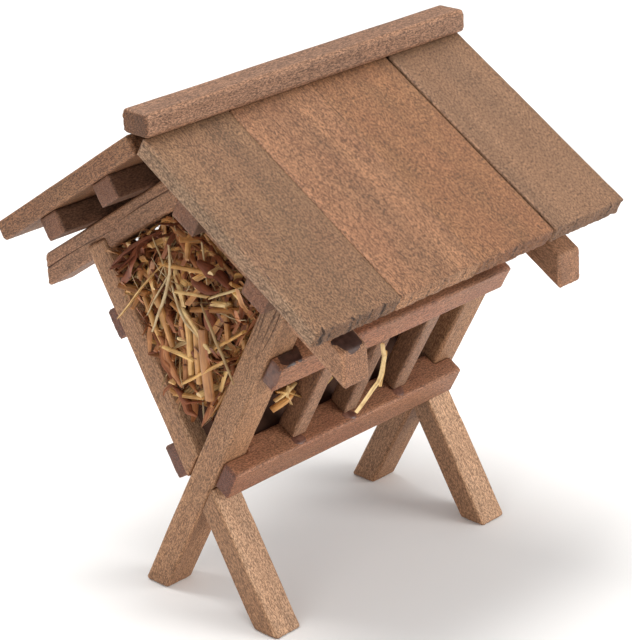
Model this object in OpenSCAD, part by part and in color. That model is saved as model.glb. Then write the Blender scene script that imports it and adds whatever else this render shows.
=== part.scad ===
// Covered hay rack: two crossed-leg frames under a boarded saddle roof.
// X runs along the ridge with the open front gable at -X, Y runs across the
// rack with its right-hand side at -Y, and Z is up from the ground.

/* [Frame] */
// Distance over the outer faces of the front and rear legs
frame_len = 70; // [56:1:90]
// Height at which the two legs of a frame cross
cross_h = 29; // [24:0.5:36]
// Lean of each leg from the vertical, in degrees
leg_splay = 30; // [24:1:34]
// Thickness of a leg along the ridge direction
leg_t = 7.2; // [6:0.2:9]
// Width of a leg across its face
leg_w = 6; // [5:0.2:7.2]

/* [Roof] */
// Height of the boards' lower edges where they meet at the ridge
ridge_h = 101.5; // [92:0.5:120]
// Slope of the roof from the horizontal, in degrees
roof_pitch = 32; // [26:1:38]
// Length of the roof boards down the slope
board_len = 52.5; // [46:0.5:62]
// Width of one roof board
board_w = 22; // [18:0.5:26]
// Thickness of the roof boards
board_t = 4.1; // [3:0.1:5]
// Number of boards on each slope
board_count = 4; // [3:1:6]
// Open joint between the third and fourth boards on the right
board_gap = 0.5; // [0:0.1:0.8]
// Width of a purlin down the slope
purlin_w = 6.4; // [5:0.2:8]
// Height of a purlin square to the slope
purlin_h = 5; // [4:0.2:6]
// Distance down the slope from the ridge to the upper purlins
purlin_upper_s = 12; // [8:0.5:16]
// Distance down the slope from the ridge to the lower purlins
purlin_lower_s = 33; // [28:0.5:38]
// Set-back of the purlin ends from the gable edges of the boards
purlin_setback = 1; // [0:0.2:4]
// Thickness of a rafter along the ridge direction
rafter_t = 6.8; // [5:0.2:7]
// Depth of a rafter square to the slope
rafter_h = 6.2; // [5:0.2:8]
// Level distance from the ridge to the plumb-cut end of a rafter
rafter_run = 42.8; // [38:0.2:50]
// Extra level length of the left rafters
rafter_extra = 1.4; // [0:0.2:3]
// Set-back of a rafter's outer face from the outer face of the legs
rafter_setback = 0.6; // [0:0.1:1]
// Height of the leg's tongue up into the rafter's notch
lap_rise = 3.1; // [2:0.1:4]

/* [Ridge cap] */
// Length of the cap
cap_len = 88.4; // [80:0.5:110]
// Width of the cap
cap_w = 7.2; // [6:0.2:10]
// Height of the cap
cap_h = 4.8; // [4:0.2:7]
// Width of the eased edges of the cap
cap_edge = 0.5; // [0.2:0.1:1]
// Distance that the cap sits towards the rear of the roof
cap_shift = 0.6; // [-2:0.2:2]

/* [Feed rack] */
// Height of the lower rails up the leg
lower_rail_h = 7.2; // [5:0.2:8]
// Distance that the lower rails stand out from the leg faces
lower_rail_out = 4.2; // [3:0.2:5]
// Height of the upper rails up the leg
upper_rail_h = 6.4; // [5:0.2:8]
// Distance that the upper rails stand out from the leg faces
upper_rail_out = 3.6; // [2.6:0.2:5]
// Length of the rails
rail_len = 67; // [53:1:88]
// Distance that the rails sit towards the front
rail_shift = 0.9; // [0:0.1:1.2]
// Space between the lower rail and the fork of the legs, up the leg
rail_fork_gap = 0.6; // [0.2:0.1:2]
// Distance that the upper rail on the left sits lower than its twin
rail_drop = 1.2; // [0:0.2:2]
// Number of slats on each side
slat_count = 3; // [2:1:4]
// Length of the slats between the rails
slat_len = 24.8; // [20:0.2:28]
// Width of a slat along the rail
slat_w = 4; // [3:0.2:5]
// Depth of a slat through the rack side
slat_d = 4.8; // [3.6:0.2:5.4]

/* [Hay] */
// Clearance between the hay and the wood around it
hay_gap = 0.3; // [0.2:0.1:0.6]
// Width of the blunt lower edge of the hay
hay_foot_w = 2; // [1:0.5:4]
// Set-back of the hay from the outer faces of the legs
hay_setback = 0.6; // [0:0.2:3]

/* [Hidden] */
SIDES = ["left", "right"];
ENDS = ["front", "rear"];
leg_half = leg_w / 2;
lap_x = frame_len / 2 - leg_t / 2;
inner_x = frame_len / 2 - leg_t;
roof_len = board_count * board_w;
rafter_plumb = rafter_h / cos(roof_pitch);
rafter_top_z = ridge_h - purlin_h / cos(roof_pitch);
rafter_low_z = rafter_top_z - rafter_plumb;
closing_rate = cos(leg_splay) + sin(leg_splay) * tan(roof_pitch);
leg_top_u = (rafter_low_z + lap_rise - cross_h) / closing_rate;
leg_foot_u = -(cross_h + leg_w) / cos(leg_splay);
lower_rail_u = leg_half * tan(leg_splay) + rail_fork_gap;
slat_u = lower_rail_u + lower_rail_h;
upper_rail_u = slat_u + slat_len;
slat_gap = (2 * inner_x - slat_count * slat_w) / (slat_count + 1);
cap_z = ridge_h + board_t * cos(roof_pitch);
cap_front_x = cap_shift - cap_len / 2;
hay_top_z = rafter_low_z - hay_gap / cos(roof_pitch);

LEGS = [for (e = ENDS, s = SIDES) str("leg_", e, "_", s)];
RAFTERS = [for (e = ENDS, s = SIDES) str("rafter_", e, "_", s)];
PURLINS = [for (s = SIDES, l = ["upper", "lower"]) str("purlin_", s, "_", l)];
RAILS = [for (s = SIDES, l = ["upper", "lower"]) str("rail_", s, "_", l)];
SLATS = [for (s = SIDES, i = [1:slat_count]) str("slat_", s, "_", i)];
BOARDS = [for (s = SIDES, i = [1:board_count]) str("roof_board_", s, "_", i)];

// Mirror the children to the right-hand side when the side says so.
module on_side(side) {
    mirror([0, side == "right" ? 1 : 0, 0]) children();
}

// Mirror the children to the rear frame when the end says so.
module at_end(end) {
    mirror([end == "rear" ? 1 : 0, 0, 0]) children();
}

// Axes of a leg that leans out to the left above the crossing: Y is square to
// the leg and points out, Z runs up the leg from the crossing.
module on_leg() {
    translate([0, 0, cross_h]) rotate([-leg_splay, 0, 0]) children();
}

// Axes of the left roof slope: Y runs down the slope from the ridge and Z is
// square to it, with Z zero at the underside of the boards.
module on_slope() {
    translate([0, 0, ridge_h]) rotate([-roof_pitch, 0, 0]) children();
}

// A box from one corner to the opposite one.
module block(low, high) {
    translate(low) cube(high - low);
}

// Full leg of the front frame that leans to the left, before any joint is cut.
module leg_stock() {
    intersection() {
        on_leg() block([-frame_len / 2, -leg_half, leg_foot_u], [-inner_x, leg_half, leg_top_u]);
        block([-frame_len, -frame_len, 0], [0, frame_len, ridge_h]);
    }
}

// Left rafter of the front frame before its notch is cut.
module rafter_stock(run) {
    low_drop = run * tan(roof_pitch);
    translate([-frame_len / 2 + rafter_setback, 0, 0])
        rotate([90, 0, 90])
            linear_extrude(rafter_t)
                polygon([
                    [0, rafter_low_z],
                    [run, rafter_low_z - low_drop],
                    [run, rafter_top_z - low_drop],
                    [0, rafter_top_z]
                ]);
}

// Everything on one side of the halving plane in the thickness of a frame.
module half_space(outer) {
    low_x = outer ? -frame_len : -lap_x;
    high_x = outer ? -lap_x : 0;
    block([low_x, -frame_len, -leg_w], [high_x, frame_len, 2 * ridge_h]);
}

// Leg of the front frame that leans to the left and keeps the given half of
// its thickness at the crossing. Its top is a tongue in the rafter's notch.
module leaning_leg(keeps_outer) {
    difference() {
        leg_stock();
        intersection() {
            mirror([0, 1, 0]) leg_stock();
            half_space(!keeps_outer);
        }
        intersection() {
            rafter_stock(rafter_run);
            half_space(false);
        }
    }
}

// A leg is named for the side that its foot stands on.
module leg(end, side) {
    color([0.60, 0.45, 0.35])
        at_end(end)
            on_side(side == "left" ? "right" : "left")
                leaning_leg(side == "left");
}

// Rafter with the notch that takes the tongue of the leg.
module rafter(end, side) {
    color([0.55, 0.40, 0.31])
        at_end(end)
            on_side(side)
                difference() {
                    rafter_stock(rafter_run + (side == "left" ? rafter_extra : 0));
                    intersection() {
                        leg_stock();
                        half_space(true);
                    }
                }
}

// Purlin that lies along the roof between the rafters and the boards.
module purlin(side, level) {
    top_s = level == "upper" ? purlin_upper_s : purlin_lower_s;
    half_len = roof_len / 2 - purlin_setback;
    color([0.52, 0.40, 0.32])
        on_side(side)
            on_slope()
                block([-half_len, top_s, -purlin_h], [half_len, top_s + purlin_w, 0]);
}

// Height up the leg of the underside of the upper rail on a side.
function rail_seat(side) = upper_rail_u - (side == "left" ? rail_drop : 0);

// Rail across the legs, with its ends rabbeted over their outer faces.
module rail(side, level) {
    low_u = level == "upper" ? rail_seat(side) : lower_rail_u;
    high_u = low_u + (level == "upper" ? upper_rail_h : lower_rail_h);
    face_n = leg_half + (level == "upper" ? upper_rail_out : lower_rail_out);
    low_x = -rail_len / 2 - rail_shift;
    color([0.56, 0.38, 0.29])
        on_side(side)
            on_leg() {
                block([low_x, leg_half, low_u], [low_x + rail_len, face_n, high_u]);
                block([-inner_x, 0, low_u], [inner_x, leg_half, high_u]);
            }
}

// Upright slat between the two rails of one side, counted from the front.
module slat(side, index) {
    low_x = -inner_x + index * slat_gap + (index - 1) * slat_w;
    color([0.55, 0.38, 0.28])
        on_side(side)
            on_leg()
                block([low_x, 0, slat_u], [low_x + slat_w, slat_d, rail_seat(side)]);
}

// Roof board, counted from the front.
module roof_board(side, index) {
    low_x = -roof_len / 2 + (index - 1) * board_w;
    opened = side == "right" && index == board_count ? board_gap : 0;
    color([0.64, 0.49, 0.38])
        on_side(side)
            on_slope()
                block([low_x + opened, 0, 0], [low_x + board_w, board_len, board_t]);
}

// Bar with eased edges that lies along the upper edges of the boards.
module ridge_cap() {
    half_w = cap_w / 2;
    flat_w = half_w - cap_edge;
    color([0.60, 0.46, 0.36])
        translate([cap_front_x, 0, cap_z])
            rotate([90, 0, 90])
                linear_extrude(cap_len)
                    polygon([
                        [-flat_w, 0],
                        [flat_w, 0],
                        [half_w, cap_edge],
                        [half_w, cap_h - cap_edge],
                        [flat_w, cap_h],
                        [-flat_w, cap_h],
                        [-half_w, cap_h - cap_edge],
                        [-half_w, cap_edge]
                    ]);
}

// Height of a point at the distance y from the middle of the rack, on a line
// that runs up beside the leg at the distance n from the leg's middle.
function beside_leg_z(n, y) =
    cross_h - n * sin(leg_splay) + (y - n * cos(leg_splay)) / tan(leg_splay);

// Distance from the middle at which that line meets the top of the hay.
function hay_shoulder_y(n) =
    (hay_top_z - beside_leg_z(n, 0)) * sin(leg_splay) / closing_rate;

// Wedge of hay between two planes that lie at n from the middle of the legs.
module hay_wedge(n, half_len) {
    foot_y = hay_foot_w / 2;
    top_y = hay_shoulder_y(n);
    translate([-half_len, 0, 0])
        rotate([90, 0, 90])
            linear_extrude(2 * half_len)
                polygon([
                    [-foot_y, beside_leg_z(n, foot_y)],
                    [foot_y, beside_leg_z(n, foot_y)],
                    [top_y, beside_leg_z(n, top_y)],
                    [0, hay_top_z],
                    [-top_y, beside_leg_z(n, top_y)]
                ]);
}

// The hay fills the rack between the slats and reaches out between the legs.
module hay_fill() {
    color([0.78, 0.63, 0.38]) {
        hay_wedge(-hay_gap, inner_x - hay_gap);
        hay_wedge(-leg_half - hay_gap, frame_len / 2 - hay_setback);
    }
}

for (e = ENDS, s = SIDES) {
    leg(e, s);
    rafter(e, s);
}
for (s = SIDES, l = ["upper", "lower"]) {
    purlin(s, l);
    rail(s, l);
}
for (s = SIDES, i = [1:slat_count])
    slat(s, i);
for (s = SIDES, i = [1:board_count])
    roof_board(s, i);
ridge_cap();
hay_fill();
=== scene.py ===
# %% [markdown]
# # A covered hay rack
# This lesson dresses a small wooden hay rack. The design arrives as a frame of
# plain solids: legs, rafters, purlins, rails, slats, boards, a ridge cap and a
# wedge that holds the place of the hay. The frame fixes every size, so the work
# here is about what makes cut and glued strip wood, and dry hay, look real.

import itertools
import math

import bmesh
import bpy
import numpy as np
from mathutils import Matrix, Quaternion, Vector


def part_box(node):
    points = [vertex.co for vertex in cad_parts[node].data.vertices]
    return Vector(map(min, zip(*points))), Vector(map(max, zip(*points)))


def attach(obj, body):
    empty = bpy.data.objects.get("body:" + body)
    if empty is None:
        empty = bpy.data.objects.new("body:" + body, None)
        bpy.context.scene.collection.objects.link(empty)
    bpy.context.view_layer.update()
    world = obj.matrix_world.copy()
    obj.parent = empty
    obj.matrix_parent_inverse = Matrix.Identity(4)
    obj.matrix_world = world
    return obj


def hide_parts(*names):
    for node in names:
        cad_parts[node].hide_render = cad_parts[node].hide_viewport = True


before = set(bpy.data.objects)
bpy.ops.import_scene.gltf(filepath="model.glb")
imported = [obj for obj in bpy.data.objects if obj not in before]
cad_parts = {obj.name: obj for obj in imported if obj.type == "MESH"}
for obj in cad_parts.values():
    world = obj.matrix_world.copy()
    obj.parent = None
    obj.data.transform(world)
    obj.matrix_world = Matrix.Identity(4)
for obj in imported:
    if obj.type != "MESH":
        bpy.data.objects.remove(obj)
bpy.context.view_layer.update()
MM = 0.001
SIDES = ("left", "right")
ENDS = ("front", "rear")

# %% [markdown]
# ## The lean of each piece
# Every stick was sawn from straight strip and then set at an angle. A surface
# that is to look sawn along the grain has to be worked on in the strip's own
# directions, so the two angles of the design are measured from the frame: the
# lean of the legs from a slat's height and depth, and the pitch of the roof from
# the rise and run between two purlins.

# %% Measure the two angles


def middle_of(node):
    """Middle of a node's box in millimetres."""
    low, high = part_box(node)
    return Vector([(a + b) / 2 / MM for a, b in zip(low, high)])


def pitch_between(first, second):
    """Angle in degrees below the horizontal of the line through two nodes' middles."""
    step = middle_of(second) - middle_of(first)
    return math.degrees(math.atan2(-step.z, abs(step.y)))


roof_pitch = round(pitch_between("purlin_left_upper", "purlin_left_lower"))
leg_lean = round(90 + pitch_between("rail_left_lower", "rail_left_upper"))
print("roof pitch", roof_pitch, "degrees, leg lean", leg_lean, "degrees")

# %% [markdown]
# ## Camera
# The rack is looked at from its open front gable and from well above, so that
# the roof, the gable with its hay and one slatted side all show. A long lens
# keeps the sticks nearly parallel, as when a small thing is looked at from a few
# steps away.

# %% Place the camera
CAMERA_AZIMUTH = -44.45
CAMERA_ELEVATION = 23.33
CAMERA_ROLL = -2.95
CAMERA_DISTANCE = 472 * MM
CAMERA_TARGET = Vector((-2.0, -11.0, 52.5)) * MM
CAMERA_LENS = 130.25
CAMERA_SHIFT = (-0.0477, 0.0299)


def add_object(name, data):
    """A new object in the scene, at the origin."""
    obj = bpy.data.objects.new(name, data)
    bpy.context.collection.objects.link(obj)
    return obj


def turn_camera(obj, azimuth, elevation, roll):
    """Aim the camera back along a direction given by two angles, and roll it."""
    a, e = math.radians(azimuth), math.radians(elevation)
    back = Vector((math.sin(a) * math.cos(e), -math.cos(a) * math.cos(e), math.sin(e)))
    aim = (-back).to_track_quat("-Z", "Y")
    obj.rotation_mode = "QUATERNION"
    obj.rotation_quaternion = aim @ Quaternion((0, 0, 1), math.radians(roll))
    return back


camera = add_object("camera", bpy.data.cameras.new("camera"))
backwards = turn_camera(camera, CAMERA_AZIMUTH, CAMERA_ELEVATION, CAMERA_ROLL)
camera.location = CAMERA_TARGET + backwards * CAMERA_DISTANCE
camera.data.lens = CAMERA_LENS
camera.data.shift_x, camera.data.shift_y = CAMERA_SHIFT
camera.data.clip_start = 10 * MM
bpy.context.scene.camera = camera
print("camera at", [round(c, 3) for c in camera.location])

# %% [markdown]
# ## Floor and light
# A pale floor and a pale world make a white studio. One soft panel hangs above,
# a little behind the ridge, one stands on the slatted right side, and a weak one
# in front of the open gable reaches in under the roof. The panels are large beside
# the rack, so its shadows are soft.

# %% Floor, world and lamps
FLOOR_HALF = 3.0
FLOOR_TONE = (0.92, 0.92, 0.92, 1)
WORLD_STRENGTH = 0.54
PANEL_SIZE = 0.5
LAMP_COLOUR = (1.0, 0.98, 0.95)
PANELS = {
    "top_panel": ((-0.05, 0.15, 0.9), 7.6),
    "right_panel": ((0.4, -0.8, 0.35), 5.3),
    "front_panel": ((-0.8, -0.3, 0.35), 1.4),
}


def new_material(name):
    """A material made of nodes, with its tree and its shader."""
    made = bpy.data.materials.new(name)
    made.use_nodes = True
    return made, made.node_tree, made.node_tree.nodes["Principled BSDF"]


def give_material(obj, made):
    """Let an object have one material and no other."""
    obj.data.materials.clear()
    obj.data.materials.append(made)


def floor_plane(half):
    """A square floor whose top is at zero height."""
    mesh = bpy.data.meshes.new("floor")
    corners = [(-half, -half, 0), (half, -half, 0), (half, half, 0), (-half, half, 0)]
    mesh.from_pydata(corners, [], [(0, 1, 2, 3)])
    return add_object("floor", mesh)


def panel_light(name, place, power):
    """A square soft light that looks at the middle of the rack."""
    lamp = bpy.data.lights.new(name, "AREA")
    lamp.size = PANEL_SIZE
    lamp.energy = power
    lamp.color = LAMP_COLOUR
    obj = add_object(name, lamp)
    obj.location = place
    aim = Vector((0, 0, 50 * MM)) - Vector(place)
    obj.rotation_mode = "QUATERNION"
    obj.rotation_quaternion = aim.to_track_quat("-Z", "Y")


floor = floor_plane(FLOOR_HALF)
floor_material, floor_tree, floor_shader = new_material("pale_floor")
floor_shader.inputs["Base Color"].default_value = FLOOR_TONE
floor_shader.inputs["Roughness"].default_value = 0.9
give_material(floor, floor_material)
world = bpy.data.worlds.new("pale_world")
world.use_nodes = True
world.node_tree.nodes["Background"].inputs["Color"].default_value = (1, 1, 1, 1)
world.node_tree.nodes["Background"].inputs["Strength"].default_value = WORLD_STRENGTH
bpy.context.scene.world = world
for name, (place, power) in PANELS.items():
    panel_light(name, place, power)
bpy.context.scene.view_settings.view_transform = "Standard"
print("studio ready with", len(PANELS), "panels")

# %% [markdown]
# ## A noise for shaping
# Wood is uneven at several sizes at once. The function below gives a smooth
# random value at any set of points, all at once, so that thousands of vertices
# can be moved in one step. It depends only on the points and a whole number,
# so the rack comes out the same each time.

# %% Smooth noise


def smooth_noise(points, seed=0):
    """Value noise from -1 to 1 at each row of points, with one cell per unit."""
    cell = np.floor(points).astype(np.int64)
    part = points - cell
    part = part * part * (3 - 2 * part)
    total = np.zeros(len(points))
    for corner in itertools.product((0, 1), repeat=3):
        code = (cell + corner) @ np.array([73856093, 19349663, 83492791])
        code = code + seed * 961748941
        code = (code ^ (code >> 13)) * 1274126177
        value = ((code ^ (code >> 16)) & 0xFFFF) / 32767.5 - 1
        weight = np.prod(np.where(corner, part, 1 - part), axis=1)
        total += weight * value
    return total


print("noise at three points:", np.round(smooth_noise(np.eye(3) * 0.7, 3), 2))

# %% [markdown]
# ## Sawn and sanded strip
# A stick is copied from its plain solid, turned into its own directions, and
# given eased edges. A voxel remesh then covers it with small even faces, which
# can be moved: long shallow furrows along the grain, worn corners, and ends
# that were torn a little by the saw. Splits are cut afterwards as thin wedges.

# %% Copy a solid and turn it along its grain


def local_turn(lean):
    """Rotation from the upright frame to a piece that leans by some degrees."""
    return Matrix.Rotation(math.radians(lean), 4, "X")


def mesh_from(bm, name):
    """Turn an edit mesh into a plain mesh, and free it."""
    mesh = bpy.data.meshes.new(name)
    bm.to_mesh(mesh)
    bm.free()
    return mesh


def clean_copy(node, lean):
    """A merged copy of a node's solid, turned upright, in millimetres."""
    bm = bmesh.new()
    bm.from_mesh(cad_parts[node].data)
    bm.transform(local_turn(-lean) @ Matrix.Scale(1 / MM, 4))
    bmesh.ops.remove_doubles(bm, verts=bm.verts, dist=1e-3)
    bmesh.ops.dissolve_limit(bm, angle_limit=0.01, verts=bm.verts, edges=bm.edges)
    return add_object(node + "_shaped", mesh_from(bm, node + "_shaped"))


def settle(obj):
    """Replace an object's mesh by what its modifiers make of it."""
    graph = bpy.context.evaluated_depsgraph_get()
    made = bpy.data.meshes.new_from_object(obj.evaluated_get(graph))
    obj.modifiers.clear()
    obj.data = made
    return obj


def even_skin(obj, voxel):
    """Cover an object with small even faces."""
    skin = obj.modifiers.new("skin", "REMESH")
    skin.mode = "VOXEL"
    skin.voxel_size = voxel
    return settle(obj)


def ease_edges(obj, ease):
    """Round the edges of a stick a little."""
    bevel = obj.modifiers.new("ease", "BEVEL")
    bevel.width = ease
    bevel.segments = 3
    bevel.limit_method = "ANGLE"
    bevel.angle_limit = math.radians(25)


def positions(mesh):
    """Vertex positions of a mesh as rows."""
    found = np.empty(len(mesh.vertices) * 3)
    mesh.vertices.foreach_get("co", found)
    return found.reshape(-1, 3)


def normals(mesh):
    """Vertex normals of a mesh as rows."""
    found = np.empty(len(mesh.vertices) * 3)
    mesh.vertex_normals.foreach_get("vector", found)
    return found.reshape(-1, 3)


def move_to(mesh, points):
    """Put the vertices of a mesh at the rows of points."""
    mesh.vertices.foreach_set("co", points.reshape(-1))
    mesh.update()


def store(mesh, name, values):
    """Keep one number for each vertex of a mesh under a name."""
    mesh.attributes.new(name, "FLOAT", "POINT").data.foreach_set("value", values)


# %% Give a stick its grain, wear and torn ends
FURROW_DEPTH = 0.035
FINE_FURROW_DEPTH = 0.018
SWELL_DEPTH = 0.03
EDGE_WEAR = 0.10
NIBBLE_DEPTH = 0.35
TEAR_DEPTH = 0.10
FINE_TEAR_DEPTH = 0.07


def soft_step(value, low, high):
    """A smooth rise from 0 at low to 1 at high."""
    t = np.clip((value - low) / (high - low), 0, 1)
    return t * t * (3 - 2 * t)


def surface_marks(points, normal, along, lean, snug):
    """How far each vertex is on an end, and how far it is on an eased edge.

    An edge that is pressed against a neighbour keeps its shape: snug lists such
    faces as (axis, sign)."""
    ends = soft_step(np.abs(normal[:, along]), 0.62, 0.8)
    upright = np.array(local_turn(-lean).to_3x3())
    axes = np.vstack([np.eye(3), upright.T])
    flatness = np.abs(normal @ axes.T).max(axis=1)
    wear = soft_step(1 - flatness, 0.03, 0.22)
    for axis, sign in snug:
        reach = sign * points[:, axis]
        wear *= soft_step(reach.max() - reach, 0.8, 1.6)
    return ends, wear


def roughen(mesh, along, lean, seed, torn, wander, snug):
    """Move the vertices of a stick as grain, wear and the saw would."""
    points, normal = positions(mesh), normals(mesh)
    ends, wear = surface_marks(points, normal, along, lean, snug)
    stretch = np.full(3, 1.4)
    stretch[along] = 0.10
    furrow = smooth_noise(points * stretch, seed) * FURROW_DEPTH
    furrow += smooth_noise(points * stretch * 2.6, seed + 1) * FINE_FURROW_DEPTH
    swell = smooth_noise(points * 0.11, seed + 2) * SWELL_DEPTH
    nibble = np.clip(smooth_noise(points * 0.55, seed + 3), 0, 1) ** 2
    inward = wear * (EDGE_WEAR + NIBBLE_DEPTH * nibble)
    moved = points + normal * (furrow * (1 - ends) - inward)[:, None]
    tear = smooth_noise(points * 1.3, seed + 4) * TEAR_DEPTH
    tear += smooth_noise(points * 3.1, seed + 5) * FINE_TEAR_DEPTH
    moved[:, along] += np.sign(normal[:, along]) * ends * (tear - 0.05) * torn
    bow = smooth_noise(points[:, [along]] * np.array([0.035, 0, 0]), seed + 6)
    across = 0 if along else 1
    moved[:, across] += bow * wander
    moved += normal * swell[:, None]
    move_to(mesh, moved)


def write_attributes(mesh, along, lean, seed, snug, cracks, painted_light_face):
    """Store the strip's own coordinates, its ends, wear and splits for the material.

    The named face, as (axis, sign), is marked to be painted paler and whiter: painted light, for the lamp
    on that side."""
    points, normal = positions(mesh), normals(mesh)
    axis, sign = painted_light_face
    # Painted light: the chosen face is marked pale here, to be lightened in the material.
    pale = soft_step(normal[:, axis] * sign, 0.5, 0.8)
    ends, wear = surface_marks(points, normal, along, lean, snug)
    order = [along] + [a for a in range(3) if a != along]
    shift = np.array([17.0, 5.0, 9.0]) * (seed + 1)
    grain = mesh.attributes.new("grain", "FLOAT_VECTOR", "POINT")
    grain.data.foreach_set("vector", (points[:, order] + shift).reshape(-1))
    for name, values in (("ends", ends), ("wear", wear), ("cracks", cracks), ("pale", pale)):
        store(mesh, name, values)


# %% [markdown]
# ## Splits
# Small strip splits along the grain near its ends. Each split is a thin wedge,
# widest at the end of the stick and fading out along it, that wanders a little
# from side to side. Subtracting it leaves a real crack, whose inside is darkened
# with painted shade.

# %% Cut splits
BLADE_STATIONS = 7
BLADE_DRIFT = 0.35
BLADE_RISE = 0.6


def blade_drift(number, t):
    """How far a split has wandered sideways, at a share t of its length."""
    return BLADE_DRIFT * np.sin(number * 1.7 + t * 5.1) * t


def split_blade(mesh, start, run, side, length, width, depth, seed):
    """Add one wedge to a mesh: run points into the wood, side out of its face."""
    sway = side.cross(run)
    verts, faces = [], []
    for i in range(BLADE_STATIONS):
        t = i / (BLADE_STATIONS - 1)
        spot = start + run * (length * (t * 1.04 - 0.04)) + sway * float(blade_drift(seed, t))
        half = max(width * (1 - t) ** 0.7, 0.01) / 2
        sink = depth * (1 - 0.8 * t)
        above = spot + side * BLADE_RISE
        verts += [above - sway * half, above + sway * half, spot - side * sink]
        if i:
            n = 3 * i
            faces += [(n - 3 + a, n - 3 + b, n + b, n + a) for a, b in ((0, 1), (1, 2), (2, 0))]
    last = 3 * BLADE_STATIONS
    faces += [(2, 1, 0), (last - 3, last - 2, last - 1)]
    added = [mesh.verts.new(v) for v in verts]
    for face in faces:
        mesh.faces.new([added[i] for i in face])


def unit(axis, sign):
    """The direction along one axis."""
    return Vector([float(a == axis) * sign for a in range(3)])


def crack_marks(points, box, along, splits):
    """How deep inside a split each vertex lies, so that painted shade can darken the inside of the
    splits.
    """
    marks = np.zeros(len(points))
    for n, (end, axis, sign, share, length, width, depth) in enumerate(splits):
        other = 3 - along - axis
        low, high = box
        t = (points[:, along] - (low[along] if end < 0 else high[along])) * -end / length
        turned = unit(axis, sign).cross(unit(along, -end))
        line = low[other] + share * (high[other] - low[other]) + blade_drift(n, t) * turned[other]
        half = np.maximum(width * np.clip(1 - t, 0, 1) ** 0.7, 0.02) / 2
        beside = 1 - soft_step(np.abs(points[:, other] - line) / half, 0.6, 1.5)
        under = ((high if sign > 0 else low)[axis] - points[:, axis]) * sign
        within = (t > -0.2) & (t < 1) & (under < depth + 0.3)
        marks = np.maximum(marks, beside * within)
    return marks


def cut_splits(obj, along, splits):
    """Subtract wedges. A split is (end, face axis, face sign, across, length, width, depth),
    with end -1 or 1, across as a share of the width and the rest in millimetres. Returns the box."""
    low, high = [Vector(c) for c in zip(*[(min(v), max(v)) for v in positions(obj.data).T])]
    bm = bmesh.new()
    for n, (end, axis, sign, share, length, width, depth) in enumerate(splits):
        other = 3 - along - axis
        start = Vector((0, 0, 0))
        start[along] = low[along] if end < 0 else high[along]
        start[axis] = high[axis] if sign > 0 else low[axis]
        start[other] = low[other] + share * (high[other] - low[other])
        split_blade(bm, start, unit(along, -end), unit(axis, sign), length, width, depth, n)
    bmesh.ops.recalc_face_normals(bm, faces=bm.faces)
    blades = add_object("blades", mesh_from(bm, "blades"))
    cut = obj.modifiers.new("cut", "BOOLEAN")
    cut.operation = "DIFFERENCE"
    cut.object = blades
    cut.solver = "EXACT"
    cut.use_self = True
    settle(obj)
    bpy.data.objects.remove(blades)
    return low, high


# %% Build one finished stick
GRAIN_VOXEL = 0.4
NO_FACE = (0, 0)


def wooden_piece(node, lean, along, seed, ease=0.35, torn=1.0, wander=0.08, splits=(), snug=(),
                 painted_light_face=NO_FACE):
    """A finished stick that stands for a node of the frame."""
    obj = clean_copy(node, lean)
    ease_edges(obj, ease)
    even_skin(obj, GRAIN_VOXEL)
    roughen(obj.data, along, lean, seed, torn, wander, snug)
    box = cut_splits(obj, along, splits) if splits else None
    cracks = crack_marks(positions(obj.data), box, along, splits)
    write_attributes(obj.data, along, lean, seed, snug, cracks, painted_light_face)
    obj.data.transform(Matrix.Scale(MM, 4) @ local_turn(lean))
    points = positions(obj.data)
    points[:, 2] = np.maximum(points[:, 2], 0)  # feet stand on the ground and not in it
    move_to(obj.data, points)
    obj.data.shade_smooth()
    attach(obj, "root")
    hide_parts(node)
    return obj


# %% [markdown]
# ## Stained wood
# The wood is a pale, close-grained timber under a thin brown wash. Five things
# can be seen: broad soft figure, fine fibres, coarse flecks, dark pores that lie
# along the grain, and a wash that gathers in patches, redder on some sticks than
# on others. Ends drink more of the wash and worn edges are paler. One face of some
# sticks is painted paler and whiter as painted light, and the inside of a split is
# darkened as painted shade. Noise that is stretched along the strip's own
# coordinates gives all of this, so that the grain follows each stick.

# %% A helper for node trees


def feed(tree, socket, value):
    """Link a result to an input, or set the input to a plain value."""
    if isinstance(value, bpy.types.NodeSocket):
        tree.links.new(value, socket)
    else:
        socket.default_value = value


def add_node(tree, kind, **sockets):
    """Add a node and feed its inputs, each by its name or as _ and its number."""
    node = tree.nodes.new(kind)
    for name, value in sockets.items():
        key = int(name[1:]) if name[0] == "_" else name.replace("_", " ")
        feed(tree, node.inputs[key], value)
    return node


def maths(tree, operation, a, b=0.0):
    """One math node and its result."""
    node = add_node(tree, "ShaderNodeMath", _0=a, _1=b)
    node.operation = operation
    return node.outputs[0]


def attribute(tree, name, output="Fac"):
    """Read what was stored on the mesh under a name."""
    node = add_node(tree, "ShaderNodeAttribute")
    node.attribute_name = name
    return node.outputs[output]


def noise(tree, vector, scale, detail, roughness=0.5):
    """A noise from 0 to 1."""
    node = add_node(tree, "ShaderNodeTexNoise", Vector=vector, Scale=scale, Detail=detail,
                    Roughness=roughness)
    return node.outputs["Fac"]


def rescale(tree, value, low, high, new_low=0.0, new_high=1.0):
    """Stretch the range from low to high over a new one."""
    node = add_node(tree, "ShaderNodeMapRange", Value=value, _1=low, _2=high, _3=new_low, _4=new_high)
    return node.outputs[0]


def add_bump(tree, shader, strength, depth, height):
    """Roughen a shader's surface, with a depth in millimetres."""
    node = add_node(tree, "ShaderNodeBump", Strength=strength, Distance=depth * MM, Height=height)
    tree.links.new(node.outputs[0], shader.inputs["Normal"])


def blend_colour(tree, kind, share, a, b):
    """Mix two colours."""
    node = tree.nodes.new("ShaderNodeMix")
    node.data_type = "RGBA"
    node.blend_type = kind
    for number, value in ((0, share), (6, a), (7, b)):
        feed(tree, node.inputs[number], value)
    return node.outputs[2]


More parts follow.
